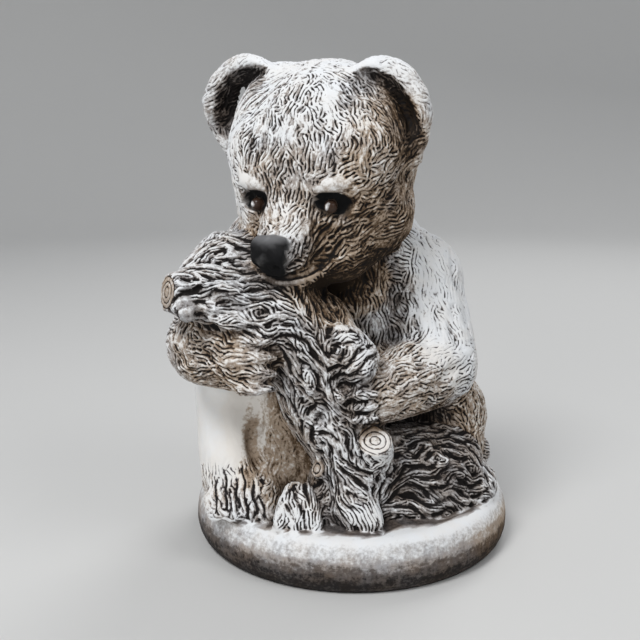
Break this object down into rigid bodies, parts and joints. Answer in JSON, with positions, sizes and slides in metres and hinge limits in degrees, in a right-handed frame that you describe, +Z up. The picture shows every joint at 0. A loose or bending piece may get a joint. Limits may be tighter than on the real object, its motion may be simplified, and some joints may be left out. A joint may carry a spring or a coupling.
{
  "type": "bear cub statue",
  "caption": "Cast-stone garden ornament: a seated bear cub hugging a broken, knotty tree stump, on a thick round base with a bull-nosed edge.",
  "frame": {"origin": "middle of the flat underside of the round base", "axes": "+Z up the figure, -Y towards the front that the cub's body faces, +X to the right as seen from the front"},
  "size_m": [0.2803, 0.268, 0.3973],
  "materials": {
    "cast_stone": "matt cast stone with a dark wash in the grooves and a pale dry-brushed coat on the ridges; nose and eyes painted black"
  },
  "bodies": {
    "root": {"bear_cub_statue": "cast_stone"}
  },
  "joints": []
}
